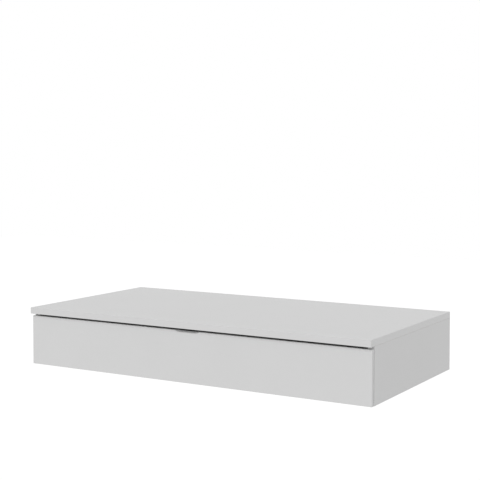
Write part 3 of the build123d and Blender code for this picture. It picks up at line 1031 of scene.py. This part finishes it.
@dataclass(frozen=True, kw_only=True)
class Dowel(Fixing):
    """A fluted wooden dowel with chamfered ends."""

    flutes: int = 18
    flute_depth: float = 0.28 * MILLIMETRE
    flute_sharpness: int = 3
    chamfer: float = 1.0 * MILLIMETRE
    segments: int = 108

    def rings(self, stand: Stand) -> list[Ring]:
        """The flutes, between the two chamfers."""
        ends = stand.radius - self.chamfer
        foot = stand.length - self.chamfer
        return [
            plain_ring(ends, 0.0),
            self._fluted(stand.radius, self.chamfer),
            self._fluted(stand.radius, stand.length / 2),
            self._fluted(stand.radius, foot),
            plain_ring(ends, stand.length),
        ]

    def _fluted(self, radius: float, below: float) -> Ring:
        """A ring with a shallow groove at each flute."""

        def ring(angle: float) -> tuple[float, float]:
            """The groove is deepest in the middle of its share of the turn."""
            groove = (0.5 - 0.5 * math.cos(angle * self.flutes)) ** self.flute_sharpness
            return radius - self.flute_depth * groove, below

        return ring


@dataclass(frozen=True, kw_only=True)
class Button(Fixing):
    """A thin moulded disc with a domed side, which is its head where domed_head says so."""

    rise: float
    flat_share: float = 0.97
    steps: int = 10
    domed_head: bool = False

    def rings(self, stand: Stand) -> list[Ring]:
        """The flat side, the rim and the dome, or the same the other way round."""
        profile = [(stand.radius * self.flat_share, 0.0), (stand.radius, 0.0)]
        rim = stand.length - self.rise
        for step in range(self.steps):
            angle = 0.5 * math.pi * step / self.steps
            out = stand.radius * math.cos(angle)
            profile.append((out, rim + self.rise * math.sin(angle)))
        if self.domed_head:
            profile = [(out, stand.length - below) for out, below in reversed(profile)]
        return [plain_ring(out, below) for out, below in profile]


@dataclass
class Fixings:
    """The screws, cam bolts, dowels, caps and pads, each made again in full."""

    frame: Mapping[str, object]
    finishes: Mapping[str, bpy.types.Material]
    cap_rise: float = 0.45 * MILLIMETRE
    cap_segments: int = 64
    pad_rise: float = 0.5 * MILLIMETRE

    def build(self) -> None:
        """Make every group of fixings where its CAD solids are."""
        pan, sunk = Screw(head=Head.PAN), Screw(head=Head.SUNK)
        self._make("slide_screws_cabinet", pan, "pan_screws_cabinet")
        self._make("slide_screws_drawer", pan, "pan_screws_drawer")
        self._make("drawer_front_screws", pan, "pan_screws_front")
        self._make("drawer_box_screws", sunk, "sunk_screws_box")
        self._make("batten_screws", sunk, "sunk_screws_batten")
        self._make("cam_bolts", CamBolt(), "threaded_cam_bolts")
        self._make("dowels", Dowel(), "fluted_dowels")
        cap = Button(rise=self.cap_rise, segments=self.cap_segments)
        self._make("cam_caps", cap, "domed_cam_caps")
        self._make("bumper_pads", Button(rise=self.pad_rise, domed_head=True), "domed_pads")

    def _make(self, node: str, kind: Fixing, name: str) -> None:
        """Make one group and let it stand for its CAD node.

        Args:
            node: the CAD node that holds the solids.
            kind: what each of them is.
            name: the new piece's name.
        """
        skin = Skin(kind.segments, kind.crowding)
        for corners in solids_of(self.frame["nodes"][node]):
            stand = Stand.of(corners)
            skin.turn(stand, kind.rings(stand))
        piece = skin.build(name)
        part = next(part for part in self.frame["record"]["subparts"] if part["node"] == node)
        bodies = self.frame["record"]["behaviour"]["bodies"]
        body = next(body for body, nodes in bodies.items() if node in nodes)
        piece.data.materials.append(self.finishes[part["material_slot"]])
        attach(piece, body)
        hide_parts(node)
        log.info("%s stands for %s on %s", name, node, body)


class Member(Enum):
    """The three members of a slide, each with the height of its beads off its middle."""

    CABINET = 13.0 * MILLIMETRE
    MIDDLE = 9.0 * MILLIMETRE
    DRAWER = 8.0 * MILLIMETRE


@dataclass
class Slides:
    """The stiffening beads that are pressed into the webs of the slide members."""

    frame: Mapping[str, object]
    zinc: bpy.types.Material
    web: float = 1.2 * MILLIMETRE
    bead_width: float = 2.6 * MILLIMETRE
    bead_height: float = 0.6 * MILLIMETRE
    bead_sink: float = 0.1 * MILLIMETRE
    end_inset: float = 12.0 * MILLIMETRE
    lever_room: float = 6.0 * MILLIMETRE
    rounding_steps: int = 6
    segments: int = 12

    def build(self) -> None:
        """Press the beads of both slides, each pair on its own member."""
        for side, sign in (("left", -1.0), ("right", 1.0)):
            bodies = {
                Member.CABINET: "cabinet",
                Member.MIDDLE: f"middle_member_{side}",
                Member.DRAWER: "drawer",
            }
            for member, body in bodies.items():
                label = f"{member.name.lower()}_{side}"
                piece = self._beads(member, side, sign).build(f"pressed_beads_{label}")
                piece.data.materials.append(self.zinc)
                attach(piece, body)
                log.info("%s ride on %s", piece.name, body)

    def _beads(self, member: Member, side: str, sign: float) -> Skin:
        """Lay the beads of one member, above and below its middle.

        Args:
            member: which member.
            side: left or right.
            sign: the side's direction across.

        Returns:
            The mesh.
        """
        low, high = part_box(f"slide_{member.name.lower()}_{side}")
        ends = sorted((low.x * sign, high.x * sign))
        surface = {
            Member.CABINET: ends[1] - self.web,
            Member.MIDDLE: ends[1],
            Member.DRAWER: ends[0] + self.web,
        }[member]
        facing = -sign if member is Member.CABINET else sign
        runs = [(low.y + self.end_inset, high.y - self.end_inset)]
        if member is Member.DRAWER:
            lever_low, lever_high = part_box(f"release_lever_{side}")
            runs = [
                (runs[0][0], lever_low.y - self.lever_room),
                (lever_high.y + self.lever_room, runs[0][1]),
            ]
        skin = Skin(self.segments)
        for level in (-1.0, 1.0):
            height = (low.z + high.z) / 2 + level * member.value
            for run in runs:
                skin.loft(self._bead(run, sign * surface, facing, height))
        return skin

    def _bead(
        self, run: tuple[float, float], surface: float, facing: float, height: float
    ) -> list[list[Vector]]:
        """The loops of one bead: half an ellipse all along, rounded off at both ends.

        Args:
            run: where the bead starts and ends, along Y.
            surface: the place across of the web's face.
            facing: the direction across that the bead stands up in.
            height: the height of the bead's middle.

        Returns:
            The corners of each loop.
        """
        half = []
        for step in range(1, self.rounding_steps + 1):
            turn = 0.5 * math.pi * step / self.rounding_steps
            half.append((self.bead_width * (1.0 - math.cos(turn)), math.sin(turn)))
        places = [(run[0] + inset, share) for inset, share in half]
        places += [(run[1] - inset, share) for inset, share in reversed(half)]
        loops = []
        for place, share in places:
            loop = []
            for step in range(self.segments):
                angle = math.pi * step / (self.segments - 1)
                rise = self.bead_height * share * math.sin(angle) - self.bead_sink
                aside = 0.5 * self.bead_width * share * math.cos(angle)
                loop.append(Vector((surface + facing * rise, place, height + aside)))
            loops.append(loop)
        return loops


def dress(piece: bpy.types.Object, material: bpy.types.Material) -> None:
    """Put one material in every slot of a piece.

    Args:
        piece: the piece.
        material: its new material.
    """
    for slot in piece.material_slots:
        slot.material = material
    log.info("%s wears %s", piece.name, material.name)


@dataclass
class SubAssembly:
    """Boards that are dressed alike, with one thin panel among them."""

    effects: Effects
    nodes: Mapping[str, bpy.types.Object]
    boards: ClassVar[Mapping[str, Axis]]
    thin_panel: ClassVar[tuple[str, Axis]]

    def dress(self) -> None:
        """Give each board its film and core, and the thin panel a film on one side."""
        for node, axis in self.boards.items():
            board = FacedBoard(FACE, CHIPBOARD, axis)
            dress(self.nodes[node], board.build(self.effects, node))
        node, axis = self.thin_panel
        panel = FacedBoard(THIN_FACE, FIBREBOARD, axis, both_faces=False)
        dress(self.nodes[node], panel.build(self.effects, node))


class Cabinet(SubAssembly):
    """The fixed case that hangs on the wall."""

    boards = {
        "top_panel": Axis.UP,
        "bottom_panel": Axis.UP,
        "side_panel_left": Axis.ACROSS,
        "side_panel_right": Axis.ACROSS,
        "rear_rail_lower": Axis.OUT,
        "rear_rail_upper": Axis.OUT,
    }
    thin_panel = ("back_panel", Axis.OUT)


class Drawer(SubAssembly):
    """The drawer's box and its thin bottom."""

    boards = {
        "drawer_inner_front": Axis.OUT,
        "drawer_back": Axis.OUT,
        "drawer_side_left": Axis.ACROSS,
        "drawer_side_right": Axis.ACROSS,
    }
    thin_panel = ("drawer_bottom", Axis.UP)


@dataclass(frozen=True)
class Viewpoint:
    """Where the photograph was taken from, found by fitting the object's corners."""

    place: tuple[float, float, float] = (1.36071, -2.50064, 0.46347)
    turn: float = 30.7766
    tilt: float = 2.3562
    focal_pixels: float = 1110.03
    rise_pixels: float = 48.0
    frame_pixels: float = 480.0
    sensor: float = 36.0
    clip_end: float = 60.0

    def build(self) -> None:
        """Make the scene's camera: level but for its tilt, with the rest of its rise as shift."""
        data = bpy.data.cameras.new("camera")
        data.sensor_width = self.sensor
        data.lens = self.focal_pixels * self.sensor / self.frame_pixels
        data.shift_y = -self.rise_pixels / self.frame_pixels
        data.clip_end = self.clip_end
        camera = bpy.data.objects.new("camera", data)
        camera.location = self.place
        camera.rotation_euler = (math.radians(90.0 - self.tilt), 0.0, math.radians(self.turn))
        bpy.context.scene.collection.objects.link(camera)
        bpy.context.scene.camera = camera


@dataclass(frozen=True)
class Studio:
    """A white room: an even sky, one broad soft lamp and a pale floor."""

    sky: float = 0.74
    key: float = 0.85
    key_direction: tuple[float, float, float] = (0.16, 0.70, -0.69)
    key_spread: float = 28.0
    key_distance: float = 3.0
    floor_drop: float = 0.70
    floor_half: float = 9.0
    floor_tone: float = 0.90
    floor_glow: float = 0.20

    def build(self, base: float) -> None:
        """Make the sky, the lamp and the floor.

        Args:
            base: the height of the object's underside.
        """
        self._sky()
        self._lamp()
        self._floor(base - self.floor_drop)

    @staticmethod
    def _seen_directly(graph: Graph) -> bpy.types.NodeSocket:
        """1 where the camera looks, also by way of metal or glass.

        Args:
            graph: the graph of the world or a material.

        Returns:
            The mask's socket.
        """
        path = graph.add("LightPath")
        direct = graph.math(
            "MAXIMUM", path.outputs["Is Camera Ray"], path.outputs["Is Glossy Ray"]
        )
        return graph.math("MAXIMUM", direct, path.outputs["Is Transmission Ray"])

    def _sky(self) -> None:
        """Make the world: white to look at, a little less as a light."""
        world = bpy.data.worlds.new("studio_sky")
        world.use_nodes = True
        bpy.context.scene.world = world
        graph = Graph(world.node_tree)
        seen = self._seen_directly(graph)
        strength = graph.blend(seen, self.sky, 1.0)
        sky = graph.add("Background", {"Color": opaque(grey(1.0)), "Strength": strength})
        graph.add("OutputWorld", {"Surface": sky.outputs["Background"]})

    def _lamp(self) -> None:
        """Hang the soft lamp over the front, to the left."""
        data = bpy.data.lights.new("key", "SUN")
        data.energy = self.key
        data.angle = math.radians(self.key_spread)
        lamp = bpy.data.objects.new("key", data)
        towards = Vector(self.key_direction).normalized()
        lamp.rotation_mode = "QUATERNION"
        lamp.rotation_quaternion = towards.to_track_quat("-Z", "Y")
        lamp.location = -self.key_distance * towards
        bpy.context.scene.collection.objects.link(lamp)

    def _floor(self, height: float) -> None:
        """Lay the floor.

        Args:
            height: the floor's height.
        """
        half = self.floor_half
        mesh = bpy.data.meshes.new("floor")
        square = ((-half, -half), (half, -half), (half, half), (-half, half))
        mesh.from_pydata([(x, y, height) for x, y in square], [], [(0, 1, 2, 3)])
        floor = bpy.data.objects.new("floor", mesh)
        bpy.context.scene.collection.objects.link(floor)
        material = bpy.data.materials.new("pale_floor")
        material.use_nodes = True
        graph = Graph(material.node_tree)
        glow = graph.math("MULTIPLY", self._seen_directly(graph), self.floor_glow)
        diffuse = graph.add("BsdfDiffuse", {"Color": opaque(grey(self.floor_tone))})
        light = graph.add("Emission", {"Color": opaque(grey(1.0)), "Strength": glow})
        both = graph.add("AddShader", {0: diffuse.outputs["BSDF"], 1: light.outputs["Emission"]})
        graph.add("OutputMaterial", {"Surface": both.outputs["Shader"]})
        mesh.materials.append(material)
        floor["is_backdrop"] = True


SLOT_FINISHES = {
    "white_band": BAND,
    "white_front": LACQUER,
    "zinc": ZINC,
    "cast_zinc": CAST,
    "ball_steel": BALL,
    "black_plastic": BLACK,
    "white_plastic": CAP,
    "batten_wood": PINE,
    "dowel_wood": BEECH,
    "clear_pad": PAD,
}


def main() -> None:
    """Load the frame, dress it, and set up the studio and the camera."""
    logging.basicConfig(level=logging.INFO, format="%(message)s")
    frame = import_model()
    cad_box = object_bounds()
    scene = bpy.context.scene
    scene.view_settings.view_transform = "Standard"
    effects = Effects()
    finishes = {slot: finish.build(effects) for slot, finish in SLOT_FINISHES.items()}
    for part in frame["record"]["subparts"]:
        finish = finishes.get(part["material_slot"])
        if finish:
            dress(frame["nodes"][part["node"]], finish)
    Cabinet(effects, frame["nodes"]).dress()
    Drawer(effects, frame["nodes"]).dress()
    Fixings(frame, finishes).build()
    Slides(frame, finishes["zinc"]).build()
    Viewpoint().build()
    Studio().build(cad_box[0].z)


if __name__ == "__main__":
    main()
